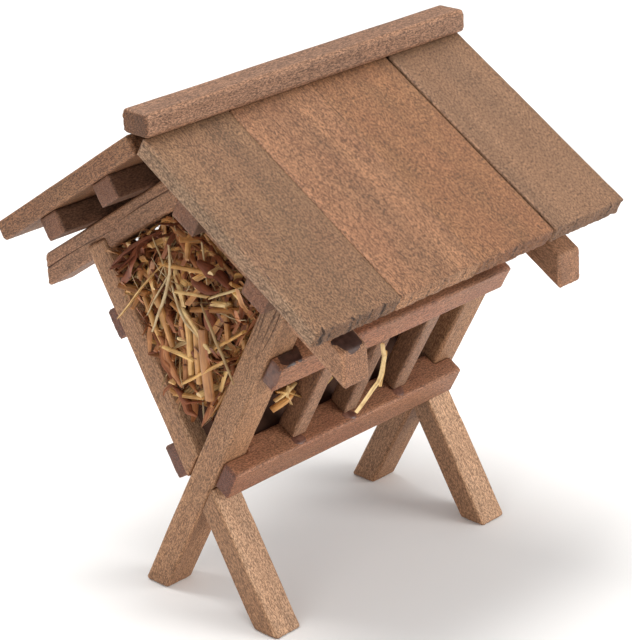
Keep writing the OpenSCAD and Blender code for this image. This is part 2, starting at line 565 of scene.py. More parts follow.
def from_steps(tree, value, steps):
    """A colour ramp through (place, colour) steps."""
    node = add_node(tree, "ShaderNodeValToRGB", Fac=value)
    ramp = node.color_ramp
    while len(ramp.elements) < len(steps):
        ramp.elements.new(0.5)
    for element, (place, colour) in zip(ramp.elements, steps):
        element.position = place
        element.color = (*colour, 1)
    return node.outputs[0]


def linear(colour):
    """Screen colour from 0 to 255 as a linear colour."""
    return tuple(((c / 255 + 0.055) / 1.055) ** 2.4 for c in colour)


# %% The wood material
WHITE = (1.0, 1.0, 1.0)


def stretched_noise(tree, vector, scale, detail, roughness=0.55):
    """Noise on the strip's coordinates, scaled along and across the grain."""
    place = add_node(tree, "ShaderNodeMapping", Vector=vector, Scale=scale)
    return noise(tree, place.outputs[0], 1.0, detail, roughness)


def stained_wood(name, body, red, red_share, gloss=0.62, end_wash=WHITE, coarse=0.8,
                 split_tone=0.44):
    """Stained strip wood. body and red are screen colours of the wash."""
    made, tree, shader = new_material(name)
    grain = attribute(tree, "grain", "Vector")
    figure = stretched_noise(tree, grain, (0.012, 0.16, 0.16), 2.0)
    fibres = stretched_noise(tree, grain, (0.28, 4.2, 4.2), 3.0, 0.65)
    flecks = stretched_noise(tree, grain, (1.7, 3.7, 3.7), 3.0, 0.75)
    pores = stretched_noise(tree, grain, (1.7, 6.0, 6.0), 1.0)
    patches = stretched_noise(tree, grain, (0.06, 0.1, 0.1), 2.0)
    base = linear(body)
    light = tuple(min(c * 1.20, 1) for c in base)
    dark = tuple(c * 0.78 for c in base)
    colour = from_steps(tree, figure, [(0.30, dark), (0.52, base), (0.72, light)])
    warm_share = maths(tree, "MULTIPLY", rescale(tree, patches, 0.38, 0.64), red_share)
    colour = blend_colour(tree, "MIX", warm_share, colour, (*linear(red), 1))
    streak = from_steps(tree, fibres, [(0.32, (0.80, 0.78, 0.76)), (0.50, WHITE),
                                       (0.70, (1.15, 1.15, 1.14))])
    colour = blend_colour(tree, "MULTIPLY", 0.75, colour, streak)
    speck = from_steps(tree, flecks, [(0.40, (0.42, 0.38, 0.35)), (0.50, (0.96, 0.96, 0.96)),
                                      (0.60, (1.60, 1.64, 1.70))])
    colour = blend_colour(tree, "MULTIPLY", coarse, colour, speck)
    threads = stretched_noise(tree, grain, (0.20, 4.6, 4.6), 1.0)
    thread = rescale(tree, threads, 0.36, 0.29)
    colour = blend_colour(tree, "MULTIPLY", thread, colour, (0.56, 0.50, 0.45, 1))
    pit = rescale(tree, pores, 0.40, 0.31)
    colour = blend_colour(tree, "MULTIPLY", pit, colour, (0.58, 0.52, 0.47, 1))
    dots = stretched_noise(tree, grain, (0.5, 5.0, 5.0), 2.0)
    end_tone = from_steps(tree, dots, [(0.34, (0.56, 0.50, 0.46)), (0.60, (0.98, 0.95, 0.93))])
    end_tone = blend_colour(tree, "MULTIPLY", 1.0, end_tone, (*end_wash, 1))
    colour = blend_colour(tree, "MULTIPLY", attribute(tree, "ends"), colour, end_tone)
    # Painted light: the face marked pale is lightened and whitened, for the lamp light that falls on that
    # side.
    colour = blend_colour(tree, "MULTIPLY", attribute(tree, "pale"), colour, (1.50, 1.72, 2.00, 1))
    pale = blend_colour(tree, "MULTIPLY", 1.0, colour, (1.22, 1.21, 1.19, 1))
    worn = maths(tree, "MULTIPLY", attribute(tree, "wear"), 0.6)
    colour = blend_colour(tree, "MIX", worn, colour, pale)
    # Painted shade: the inside of each split is darkened, for the shade in the narrow crack.
    colour = blend_colour(tree, "MULTIPLY", attribute(tree, "cracks"), colour,
                          (split_tone, split_tone * 0.86, split_tone * 0.75, 1))
    tree.links.new(colour, shader.inputs["Base Color"])
    rough = rescale(tree, fibres, 0.3, 0.7, gloss + 0.12, gloss - 0.05)
    tree.links.new(rough, shader.inputs["Roughness"])
    height = maths(tree, "MULTIPLY", fibres, 0.5)
    height = maths(tree, "ADD", height, maths(tree, "MULTIPLY", flecks, 0.8))
    height = maths(tree, "SUBTRACT", height, maths(tree, "MULTIPLY", pit, 0.5))
    add_bump(tree, shader, 0.6, 0.08, height)
    shader.inputs["Specular IOR Level"].default_value = 0.5
    return made


# Rough-sawn boards: coarser flecks, and darker painted shade inside their splits and nicks.
ROUGH_SAWN = {"coarse": 1.0, "split_tone": 0.2}
WOODS = {
    "grey_board": stained_wood("grey_board", (117, 86, 60), (120, 84, 59), 0.4, **ROUGH_SAWN),
    "tan_board": stained_wood("tan_board", (131, 93, 65), (131, 88, 61), 0.5, **ROUGH_SAWN,
                              end_wash=(1.5, 1.66, 1.76)),
    "red_board": stained_wood("red_board", (126, 88, 58), (127, 84, 56), 0.6, **ROUGH_SAWN),
    "dull_board": stained_wood("dull_board", (122, 91, 67), (124, 90, 64), 0.4, **ROUGH_SAWN),
    "leg": stained_wood("leg_wood", (148, 109, 78), (146, 103, 71), 0.45),
    "rafter": stained_wood("rafter_wood", (148, 108, 79), (145, 100, 72), 0.5),
    # Painted shade: the purlin wash is darkened for the shade under the roof; the end wash lifts the ends
    # back to their own tone.
    "purlin": stained_wood("purlin_wood", (101, 71, 52), (101, 66, 47), 0.4, end_wash=(1.60, 1.48, 1.42)),
    "rail": stained_wood("rail_wood", (142, 97, 69), (136, 84, 60), 0.6, 0.5, end_wash=(0.6, 0.5, 0.5)),
    "slat": stained_wood("slat_wood", (113, 79, 55), (107, 70, 48), 0.5, 0.55),
    "cap": stained_wood("cap_wood", (136, 100, 76), (132, 94, 69), 0.4, coarse=1.0,
                        end_wash=(0.72, 0.64, 0.54)),
}
print("woods:", ", ".join(WOODS))

# %% [markdown]
# ## The wooden pieces
# Each kind of piece is made in its own loop. A piece on the right leans one way
# and its twin on the left leans the other way. Legs and slats have their grain
# up the leg, boards and rafters down the slope, and the rest along the ridge.

# %% Legs, rafters, rails and slats
X_AXIS, Y_AXIS, Z_AXIS = 0, 1, 2
LEAN_SIGN = {"left": -1, "right": 1}
wooden = {}


def finish_piece(name, obj, wood):
    """Give a piece its wood and note it."""
    give_material(obj, WOODS[wood])
    wooden[name] = obj


RAFTER_SPLITS = [
    (1, X_AXIS, -1, 0.55, 30.0, 0.34, 1.2),
    (-1, X_AXIS, -1, 0.62, 24.0, 0.34, 1.2),
]
LEG_SPLITS = [
    (1, X_AXIS, -1, 0.20, 12.0, 0.36, 1.6),
    (1, X_AXIS, -1, 0.34, 15.0, 0.30, 1.3),
    (1, X_AXIS, -1, 0.60, 11.0, 0.40, 1.6),
    (1, X_AXIS, -1, 0.72, 13.5, 0.28, 1.2),
]
# Each leg gets painted light: its outward face is painted paler and whiter.
for i, (end, side) in enumerate(itertools.product(ENDS, SIDES)):
    cracks = LEG_SPLITS if (end, side) == ("front", "left") else ()
    leg = wooden_piece(f"leg_{end}_{side}", -LEAN_SIGN[side] * leg_lean, Z_AXIS, 10 + i,
                       ease=0.45, wander=0.15, splits=cracks, painted_light_face=(Y_AXIS, -LEAN_SIGN[side]))
    finish_piece(leg.name, leg, "leg")
for i, (end, side) in enumerate(itertools.product(ENDS, SIDES)):
    cracks = RAFTER_SPLITS if (end, side) == ("front", "left") else ()
    rafter = wooden_piece(f"rafter_{end}_{side}", LEAN_SIGN[side] * roof_pitch, Y_AXIS, 20 + i,
                          splits=cracks)
    finish_piece(rafter.name, rafter, "rafter")
for i, (side, level) in enumerate(itertools.product(SIDES, ("upper", "lower"))):
    rail = wooden_piece(f"rail_{side}_{level}", LEAN_SIGN[side] * leg_lean, X_AXIS, 30 + i)
    finish_piece(rail.name, rail, "rail")
    purlin = wooden_piece(f"purlin_{side}_{level}", LEAN_SIGN[side] * roof_pitch, X_AXIS, 40 + i)
    finish_piece(purlin.name, purlin, "purlin")
# Each slat gets the same painted light on its outward face.
for i, (side, n) in enumerate(itertools.product(SIDES, (1, 2, 3))):
    slat = wooden_piece(f"slat_{side}_{n}", LEAN_SIGN[side] * leg_lean, Z_AXIS, 50 + i, ease=0.25,
                        painted_light_face=(Y_AXIS, -LEAN_SIGN[side]))
    finish_piece(slat.name, slat, "slat")
print("sticks made:", len(wooden))

# %% Roof boards and ridge cap
BOARD_WOODS = {
    "right": ("grey_board", "tan_board", "red_board", "dull_board"),
    "left": ("red_board", "dull_board", "tan_board", "grey_board"),
}
EAVE_CUTS = {
    1: [(0.08, 1.6, 0.9), (0.17, 0.5, 0.5), (0.42, 0.9, 0.9), (0.50, 0.6, 0.5), (0.64, 0.7, 0.7),
        (0.79, 0.9, 0.8)],
    2: [(0.14, 0.5, 0.36), (0.37, 0.6, 0.4), (0.55, 0.4, 0.36), (0.82, 0.6, 0.36)],
    3: [(0.10, 0.5, 0.36), (0.47, 0.7, 0.4)],
    4: [(0.30, 0.6, 0.4), (0.79, 0.9, 0.5)],
}


def eave_splits(side, n):
    """Saw nicks and short splits in the eave of one board, through its upper face."""
    end = -1 if side == "right" else 1
    rows = EAVE_CUTS[n if side == "right" else 5 - n]
    return [(end, Z_AXIS, 1, share, length, width, 3.6) for share, length, width in rows]


def neighbours(side, n):
    """The faces of a board that are pressed against the next boards."""
    faces = [(X_AXIS, -1)] if n > 1 else []
    if n < 4:
        faces.append((X_AXIS, 1))
    if side == "right" and n > 2:
        faces.remove((X_AXIS, 1 if n == 3 else -1))
    return faces


# The front edge face of the first right board gets painted light: it is painted paler and whiter.
for i, (side, n) in enumerate(itertools.product(SIDES, (1, 2, 3, 4))):
    board = wooden_piece(f"roof_board_{side}_{n}", LEAN_SIGN[side] * roof_pitch, Y_AXIS, 60 + i,
                         ease=0.15, torn=3.0, wander=0.05, splits=eave_splits(side, n),
                         snug=neighbours(side, n),
                         painted_light_face=(X_AXIS, -1) if (side, n) == ("right", 1) else NO_FACE)
    finish_piece(board.name, board, BOARD_WOODS[side][n - 1])
cap = wooden_piece("ridge_cap", 0, X_AXIS, 80, ease=0.9, torn=1.5)
finish_piece(cap.name, cap, "cap")
print("wooden pieces:", len(wooden), "with",
      sum(len(o.data.polygons) for o in wooden.values()), "faces")

# %% [markdown]
# ## Hay
# The rack is stuffed with chopped straw, thin stalks, dry grass and curled leaf
# flakes. Between the stems one looks into dark hollows. So the filling is made
# in two parts. A lumpy heart, smaller than the space, closes the view; it is one
# flat dark brown, painted shade for the hollows. Loose stems then lie on it in every
# direction, most of them along its surface.
# Geometry Nodes scatter the stems, because only their sizes and their numbers
# matter, and one tree with named inputs serves every kind.

# %% The heart of the hay, dark with painted shade


LEAN = math.radians(leg_lean)
PITCH = math.radians(roof_pitch)
FORK_Z = 29.0
LEG_INSIDE_X = 27.8
HAY_LOW_Z = 45.0
HAY_REACH_X = 37.0
BEHIND_LEGS = -3.2
BETWEEN_SLATS = -0.3
HEART_VOXEL = 1.1
hay_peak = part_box("hay_fill")[1][2] / MM


def beyond_leg(points):
    """How far each point lies outside the middle plane of the nearer leg, square to it."""
    return np.abs(points[:, 1]) * math.cos(LEAN) - (points[:, 2] - FORK_Z) * math.sin(LEAN)


def hay_heart():
    """A lumpy core inside the space that the hay fills, with how much lies on it."""
    obj = even_skin(clean_copy("hay_fill", 0), HEART_VOXEL)
    points, normal = positions(obj.data), normals(obj.data)
    x_out = np.abs(points[:, 0])
    flank = soft_step(np.abs(normal[:, 1]), 0.6, 0.8) * (1 - soft_step(x_out, 24, 29))
    low = soft_step(49 - points[:, 2], 0, 5)
    lumps = smooth_noise(points * 0.16, 91) * 1.6 + smooth_noise(points * 0.45, 92) * 0.9
    inset = (4.2 + 2.6 * flank) * (1 - 0.8 * low * (1 - flank))
    moved = points + normal * (lumps * (1 - 0.6 * low) - inset)[:, None]
    moved[:, 0] -= np.sign(points[:, 0]) * low * soft_step(x_out, 18, 30) * 2.5
    move_to(obj.data, moved)
    cover = (1 - 0.65 * flank) * (1 - low) * (1 - 0.5 * soft_step(normal[:, 2], 0.4, 0.7))
    store(obj.data, "cover", cover)
    obj.data.transform(Matrix.Scale(MM, 4))
    obj.name = "hay_heart"
    return obj


def ease_to(values, limit, room):
    """Press values softly under a limit, over the last stretch of room."""
    over = np.maximum(values - (limit - room), 0)
    return np.where(over > 0, limit - room * np.exp(-over / room), values)


def keep_inside(mesh):
    """Press stems off the legs, the slats and the rafters, as the rack itself does."""
    points = positions(mesh) / MM
    beyond = beyond_leg(points)
    limit = np.where(np.abs(points[:, 0]) > LEG_INSIDE_X - 0.3, BEHIND_LEGS, BETWEEN_SLATS)
    shift = ease_to(beyond, limit, 0.7) - beyond
    points[:, 1] += np.sign(points[:, 1]) * shift * math.cos(LEAN)
    points[:, 2] -= shift * math.sin(LEAN)
    roof = points[:, 2] + np.abs(points[:, 1]) * math.tan(PITCH)
    points[:, 2] += ease_to(roof, hay_peak, 0.7) - roof
    points[:, 0] = np.sign(points[:, 0]) * ease_to(np.abs(points[:, 0]), HAY_REACH_X, 1.5)
    points[:, 2] = HAY_LOW_Z - ease_to(HAY_LOW_Z - points[:, 2], 2.5, 2.0)
    move_to(mesh, points * MM)


heart = hay_heart()
print("heart of the hay:", len(heart.data.polygons), "faces")

# %% [markdown]
# ## A stem in Geometry Nodes
# A stem starts as a short line. It is bent by a noise, takes a profile that can
# be round, flat or curled like a split straw, and keeps two values for its
# material: its tone, and how far along the stem each point lies.

# %% Small helpers for geometry trees


def new_tree(name, sockets):
    """A geometry tree with an output and the given named inputs."""
    tree = bpy.data.node_groups.new(name, "GeometryNodeTree")
    tree.interface.new_socket("Geometry", in_out="OUTPUT", socket_type="NodeSocketGeometry")
    for title, kind in sockets:
        tree.interface.new_socket(title, in_out="INPUT", socket_type="NodeSocket" + kind)
    return tree, tree.nodes.new("NodeGroupInput"), tree.nodes.new("NodeGroupOutput")


def vector_maths(tree, operation, a, b=(0, 0, 0)):
    """One vector math node and its vector result."""
    node = tree.nodes.new("ShaderNodeVectorMath")
    node.operation = operation
    feed(tree, node.inputs[0], a)
    feed(tree, node.inputs[3 if operation == "SCALE" else 1], b)
    return node.outputs["Value"] if operation == "DOT_PRODUCT" else node.outputs["Vector"]


def random_number(tree, low, high, seed):
    """A random number for each element."""
    node = add_node(tree, "FunctionNodeRandomValue", _2=low, _3=high, _8=seed)
    node.data_type = "FLOAT"
    return node.outputs[1]


def keep_value(tree, geometry, name, value, domain):
    """Store a number on a domain under a name."""
    node = add_node(tree, "GeometryNodeStoreNamedAttribute", Geometry=geometry, Name=name)
    node.data_type = "FLOAT"
    node.domain = domain
    feed(tree, [s for s in node.inputs if s.name == "Value" and s.enabled][0], value)
    return node.outputs[0]


def named_value(tree, name):
    """Read a number that was stored under a name."""
    node = add_node(tree, "GeometryNodeInputNamedAttribute", Name=name)
    node.data_type = "FLOAT"
    return node.outputs["Attribute"]


# %% Skin for a stem


def stem_skin(tree, curve, inputs):
    """Give lines a profile. Their width is Width times each line's own girth."""
    sample = add_node(tree, "GeometryNodeResampleCurve", Curve=curve, Count=inputs["Steps"])
    here = tree.nodes.new("GeometryNodeInputPosition").outputs[0]
    wobble = add_node(tree, "ShaderNodeTexNoise", Vector=here, Scale=inputs["Bend Scale"], Detail=1.0)
    swing = vector_maths(tree, "SUBTRACT", wobble.outputs["Color"], (0.5, 0.5, 0.5))
    swing = vector_maths(tree, "SCALE", swing, inputs["Bend"])
    bent = add_node(tree, "GeometryNodeSetPosition", Geometry=sample.outputs[0], Offset=swing)
    along = tree.nodes.new("GeometryNodeSplineParameter").outputs["Factor"]
    kept = keep_value(tree, bent.outputs[0], "along", along, "POINT")
    bulge = maths(tree, "SINE", maths(tree, "MULTIPLY", along, math.pi))
    taper = maths(tree, "ADD", maths(tree, "MULTIPLY", bulge, inputs["Taper"]),
                  maths(tree, "SUBTRACT", 1.0, inputs["Taper"]))
    girth = maths(tree, "MULTIPLY", named_value(tree, "girth"), taper)
    sized = add_node(tree, "GeometryNodeSetCurveRadius", Curve=kept, Radius=girth)
    ring = add_node(tree, "GeometryNodeCurvePrimitiveCircle", Resolution=inputs["Sides"], Radius=0.5)
    spot = tree.nodes.new("GeometryNodeInputPosition").outputs[0]
    part = add_node(tree, "ShaderNodeSeparateXYZ", Vector=spot)
    thick = maths(tree, "MULTIPLY", part.outputs[1], inputs["Thickness"])
    bowl = maths(tree, "MULTIPLY", part.outputs[0], part.outputs[0])
    cup = maths(tree, "MULTIPLY", bowl, inputs["Curl"])
    shape = add_node(tree, "ShaderNodeCombineXYZ", X=part.outputs[0], Y=maths(tree, "ADD", thick, cup))
    shape = vector_maths(tree, "SCALE", shape.outputs[0], inputs["Width"])
    marked = keep_value(tree, ring.outputs[0], "across", part.outputs[0], "POINT")
    profile = add_node(tree, "GeometryNodeSetPosition", Geometry=marked, Position=shape)
    solid = add_node(tree, "GeometryNodeCurveToMesh", Curve=sized.outputs[0],
                     Profile_Curve=profile.outputs[0], Fill_Caps=True)
    if "Scale" in solid.inputs:
        tree.links.new(girth, solid.inputs["Scale"])
    plain = add_node(tree, "GeometryNodeRealizeInstances", Geometry=solid.outputs[0])
    coated = add_node(tree, "GeometryNodeSetMaterial", Geometry=plain.outputs[0],
                      Material=inputs["Material"])
    return coated.outputs[0]


SKIN_SOCKETS = [("Steps", "Int"), ("Sides", "Int"), ("Width", "Float"), ("Thickness", "Float"),
                ("Curl", "Float"), ("Taper", "Float"), ("Bend", "Float"), ("Bend Scale", "Float"),
                ("Material", "Material")]


def scatter_tree():
    """Lines strewn over a surface, most of them lying along it, then skinned."""
    sockets = [("Surface", "Geometry"), ("Density", "Float"), ("Seed", "Int"), ("Shortest", "Float"),
               ("Longest", "Float"), ("Lift", "Float"), ("Stand Off", "Float")] + SKIN_SOCKETS
    tree, given, result = new_tree("strew_stems", sockets)
    inputs = given.outputs
    density = maths(tree, "MULTIPLY", inputs["Density"], named_value(tree, "cover"))
    dots = add_node(tree, "GeometryNodeDistributePointsOnFaces", Mesh=inputs["Surface"],
                    Density=density, Seed=inputs["Seed"])
    normal = dots.outputs["Normal"]
    aim = add_node(tree, "FunctionNodeRandomValue", _0=(-1, -1, -1), _1=(1, 1, 1), _8=inputs["Seed"])
    aim.data_type = "FLOAT_VECTOR"
    rise = vector_maths(tree, "DOT_PRODUCT", aim.outputs[0], normal)
    press = maths(tree, "MULTIPLY", rise, maths(tree, "SUBTRACT", 1.0, inputs["Lift"]))
    lying = vector_maths(tree, "SUBTRACT", aim.outputs[0], vector_maths(tree, "SCALE", normal, press))
    turn = add_node(tree, "FunctionNodeAxesToRotation", Primary_Axis=lying, Secondary_Axis=normal)
    turn.primary_axis = "Z"
    turn.secondary_axis = "Y"
    line = add_node(tree, "GeometryNodeCurvePrimitiveLine", Start=(0, 0, -0.5), End=(0, 0, 0.5))
    length = random_number(tree, inputs["Shortest"], inputs["Longest"], 3)
    lift = maths(tree, "MULTIPLY", random_number(tree, 0.0, 1.0, 5), inputs["Stand Off"])
    raised = add_node(tree, "GeometryNodeSetPosition", Geometry=dots.outputs["Points"],
                      Offset=vector_maths(tree, "SCALE", normal, lift))
    stretch = add_node(tree, "ShaderNodeCombineXYZ", X=1.0, Y=1.0, Z=length)
    strewn = add_node(tree, "GeometryNodeInstanceOnPoints", Points=raised.outputs[0],
                      Instance=line.outputs[0], Rotation=turn.outputs[0], Scale=stretch.outputs[0])
    toned = keep_value(tree, strewn.outputs[0], "tone", random_number(tree, 0.0, 1.0, 7), "INSTANCE")
    girthed = keep_value(tree, toned, "girth", random_number(tree, 0.6, 1.0, 9), "INSTANCE")
    lines = add_node(tree, "GeometryNodeRealizeInstances", Geometry=girthed)
    tree.links.new(stem_skin(tree, lines.outputs[0], inputs), result.inputs[0])
    return tree


def placed_tree():
    """Lines that were placed one by one, skinned as the others are."""
    tree, given, result = new_tree("placed_stems", [("Lines", "Geometry")] + SKIN_SOCKETS)
    curve = add_node(tree, "GeometryNodeMeshToCurve", Mesh=given.outputs["Lines"])
    tree.links.new(stem_skin(tree, curve.outputs[0], given.outputs), result.inputs[0])
    return tree


def grown(name, base, tree, pressed=True, **values):
    """Run a tree on a copy of a mesh object and return the result as a plain piece."""
    obj = add_object(name, base.data.copy())
    modifier = obj.modifiers.new("grow", "NODES")
    modifier.node_group = tree
    for item in tree.interface.items_tree:
        key = item.name.replace(" ", "_").lower()
        if item.in_out == "INPUT" and key in values:
            modifier[item.identifier] = values[key]
    settle(obj)
    if pressed:
        keep_inside(obj.data)
    obj.data.shade_smooth()
    obj.data.set_sharp_from_angle(angle=math.radians(50))
    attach(obj, "root")
    return obj


# %% [markdown]
# ## Straw, stalk, grass and leaf
# Straw is shiny on its outer skin and runs from pale cream through gold to a
# tired brown, one stem from the next. Fine streaks run along it. Leaf flakes
# are duller and reddish brown, with a network of darker veins.

# %% Hay materials


def stem_material(name, steps, gloss, streak_share):
    """Dry stems whose colour is picked by each stem's own tone."""
    made, tree, shader = new_material(name)
    values = {title: attribute(tree, title) for title in ("tone", "along", "across")}
    colour = from_steps(tree, values["tone"], [(place, linear(c)) for place, c in steps])
    spot = add_node(tree, "ShaderNodeCombineXYZ", X=maths(tree, "MULTIPLY", values["across"], 9.0),
                    Y=maths(tree, "MULTIPLY", values["along"], 2.2),
                    Z=maths(tree, "MULTIPLY", values["tone"], 83.0))
    streaks = noise(tree, spot.outputs[0], 1.0, 3.0)
    shade = from_steps(tree, streaks, [(0.34, (0.60, 0.52, 0.45)), (0.50, WHITE),
                                       (0.66, (1.28, 1.28, 1.24))])
    colour = blend_colour(tree, "MULTIPLY", streak_share, colour, shade)
    where = add_node(tree, "ShaderNodeTexCoord").outputs["Object"]
    stain = from_steps(tree, noise(tree, where, 420.0, 2.0), [(0.36, (0.66, 0.55, 0.46)), (0.55, WHITE)])
    colour = blend_colour(tree, "MULTIPLY", 0.7, colour, stain)
    tips = from_steps(tree, values["along"], [(0.0, (0.60, 0.50, 0.40)), (0.12, WHITE), (0.88, WHITE)])
    colour = blend_colour(tree, "MULTIPLY", 0.6, colour, tips)
    tree.links.new(colour, shader.inputs["Base Color"])
    shader.inputs["Roughness"].default_value = gloss
    add_bump(tree, shader, 0.5, 0.1, streaks)
    return made


STRAW = stem_material("straw", [(0.0, (148, 96, 58)), (0.22, (190, 136, 82)), (0.5, (214, 166, 102)),
                                (0.75, (228, 188, 124)), (0.97, (238, 212, 160))], 0.42, 0.8)
STALK = stem_material("stalk", [(0.0, (98, 52, 34)), (0.3, (140, 84, 54)), (0.6, (176, 114, 74)),
                                (0.95, (204, 150, 100))], 0.55, 0.9)
GRASS = stem_material("dry_grass", [(0.0, (150, 118, 78)), (0.6, (186, 158, 114)),
                                    (0.95, (208, 188, 150))], 0.5, 0.6)
LEAF = stem_material("leaf_flake", [(0.0, (128, 72, 48)), (0.4, (142, 82, 54)), (0.75, (164, 102, 66)),
                                    (0.95, (184, 126, 84))], 0.6, 0.9)
# Painted shade: the heart is one flat dark brown, for the shade in the hollows between the stems.
HAY_PAINTED_SHADE = stem_material("hay_heart", [(0.0, (74, 44, 26)), (1.0, (74, 44, 26))], 0.9, 0.5)

# %% Strew the stems
strew = scatter_tree()
PER_MM2 = 1e6
give_material(heart, HAY_PAINTED_SHADE)
hay_pieces = [
    grown("hay_straw", heart, strew, density=0.075 * PER_MM2, seed=4, shortest=9 * MM, longest=22 * MM,
          lift=0.2, stand_off=3.0 * MM, steps=4, sides=8, width=2.2 * MM, thickness=0.45, curl=0.8,
          taper=0.08, bend=1.0 * MM, bend_scale=70.0, material=STRAW),
    grown("hay_stalks", heart, strew, density=0.15 * PER_MM2, seed=11, shortest=10 * MM, longest=24 * MM,
          lift=0.22, stand_off=2.8 * MM, steps=6, sides=6, width=1.8 * MM, thickness=0.2, curl=0.5,
          taper=0.35, bend=2.4 * MM, bend_scale=90.0, material=STALK),
    grown("hay_grass", heart, strew, density=0.045 * PER_MM2, seed=23, shortest=12 * MM, longest=26 * MM,
          lift=0.25, stand_off=3.6 * MM, steps=8, sides=4, width=0.5 * MM, thickness=0.6, curl=0.0,
          taper=0.5, bend=4.0 * MM, bend_scale=80.0, material=GRASS),
    grown("hay_leaf", heart, strew, density=0.02 * PER_MM2, seed=37, shortest=7 * MM, longest=14 * MM,
          lift=0.3, stand_off=2.4 * MM, steps=9, sides=8, width=3.4 * MM, thickness=0.09, curl=0.8,
          taper=0.8, bend=4.0 * MM, bend_scale=230.0, material=LEAF),
]
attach(heart, "root")
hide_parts("hay_fill")
print("strewn:", {o.name: len(o.data.polygons) for o in hay_pieces})

# %% [markdown]
# ## Stems that catch the eye
# A few stems lie across the open gable in front of the rest, and one hangs out
# between the slats. These are listed one by one: each has a width, a tone from
# dark to pale, and the points that it passes through.

# %% Place the leading stems


def placed_stems(name, rows, **values):
    """Stems through given points: rows of (width share, tone, points in millimetres)."""
    verts, edges, girth, tone = [], [], [], []
    for share, shade, points in rows:
        start = len(verts)
        verts += [Vector(p) * MM for p in points]
        edges += [(start + i, start + i + 1) for i in range(len(points) - 1)]
        girth += [share] * len(points)
        tone += [shade] * len(points)
    mesh = bpy.data.meshes.new(name)
    mesh.from_pydata(verts, edges, [])
    store(mesh, "girth", girth)
    store(mesh, "tone", tone)
    base = bpy.data.objects.new(name + "_lines", mesh)
    return grown(name, base, by_hand, pressed=False, **values)


by_hand = placed_tree()
LEADING_STRAW = [
    (0.50, 0.70, [(-35.6, 3.6, 77.0), (-37, 10.2, 69.8), (-37.2, 18.1, 61.4)]),
    (0.80, 0.40, [(-35.8, 5.4, 76.1), (-36.2, -2.0, 77.0), (-35.4, -8.3, 77.0)]),
    (0.60, 0.80, [(-36.2, 1.5, 71.3), (-36.2, -8.5, 72.4)]),
    (0.60, 0.95, [(-36, -8.8, 72.1), (-35.6, -17.4, 76.1)]),
    (0.95, 0.62, [(-35.8, 1.4, 51.4), (-36.2, -12.5, 60.0)]),
    (0.85, 0.55, [(-35, 5.1, 47.9), (-35.4, -4.8, 49.8)]),
    (1.05, 0.12, [(-36.4, -6.2, 64.9), (-36.6, -7.0, 58.0), (-36.2, -6.8, 49.8)]),
    (0.65, 0.72, [(-36.2, 6.5, 58.4), (-36.4, -3.7, 57.9)]),
    (0.85, 0.50, [(-35.8, -9.4, 61.8), (-35.4, -17.3, 67.4)]),
    (1.00, 0.90, [(-35.8, -9.2, 71.2), (-35.2, -12.9, 71.6)]),
    (1.20, 0.15, [(-35.8, 17.9, 68.4), (-35, 10.6, 68.1)]),
    (0.75, 0.58, [(-35.6, -0.9, 67.5), (-36, -2.3, 61.7), (-36, -2.0, 54.2)]),
    (0.70, 0.35, [(-35.6, -3.4, 66.5), (-36.2, -4.6, 59.8), (-35.8, -3.8, 52.6)]),
    (0.60, 0.85, [(-36, 0.7, 69.2), (-36.4, -5.2, 63.9), (-36, -8.3, 60.7)]),
    (0.70, 0.30, [(-35.6, 8.6, 72.5), (-36, 5.2, 64.7), (-35.6, 3.6, 58.5)]),
    (0.65, 0.45, [(-35.6, 11.1, 67.5), (-35.8, 8.4, 62.1), (-35.4, 6.2, 57.4)]),
    (0.95, 0.34, [(-18.0, -11.0, 47.0), (-20.5, -11.6, 46.2), (-23.4, -10.4, 44.4)]),
    (0.60, 0.85, [(-17.4, -11.6, 48.6), (-20.4, -11.8, 47.8), (-23.0, -11.0, 46.4)]),
    (0.45, 0.70, [(-17.0, -12.2, 45.4), (-19.8, -11.9, 47.4), (-22.4, -11.2, 48.2)]),
    (0.40, 0.90, [(-19.4, -12.0, 44.6), (-20.4, -12.1, 46.8), (-20.0, -12.4, 49.0)]),
    (0.80, 0.80, [(-8.6, -12.8, 47.2), (-11.6, -11.3, 44.4)]),
    (0.45, 0.88, [(-3.9, -23.2, 55.6), (-0.8, -20.3, 50.0), (0.8, -17.3, 44.2), (-1.2, -15.3, 40.6),
                  (-3.4, -13.8, 37.4)]),
    (0.35, 0.70, [(-1.6, -21.6, 52.6), (1.4, -17.6, 45.6), (1.8, -16.2, 42.0)]),
]
LEADING_GRASS = [
    (0.9, 0.75, [(-36.2, 1.6, 80.8), (-36.8, 1.2, 75.2), (-37, 4.7, 67.3), (-36.8, 8.4, 60.6)]),
    (0.9, 0.85, [(-36.6, 1.2, 72.5), (-37, -0.6, 68.3), (-36.8, -2.1, 65.6), (-36.4, -5.0, 62.7)]),
    (0.8, 0.80, [(-36.8, 1.4, 75.2), (-37.2, 6.1, 68.9), (-36.6, 9.6, 64.0)]),
    (0.9, 0.30, [(-36.6, -6.9, 70.6), (-37.4, -11.7, 63.5), (-37.4, -15.5, 56.3)]),
    (0.7, 0.55, [(-36, 6.7, 81.2), (-36.4, 3.6, 75.9), (-36.2, 2.6, 70.8)]),
]
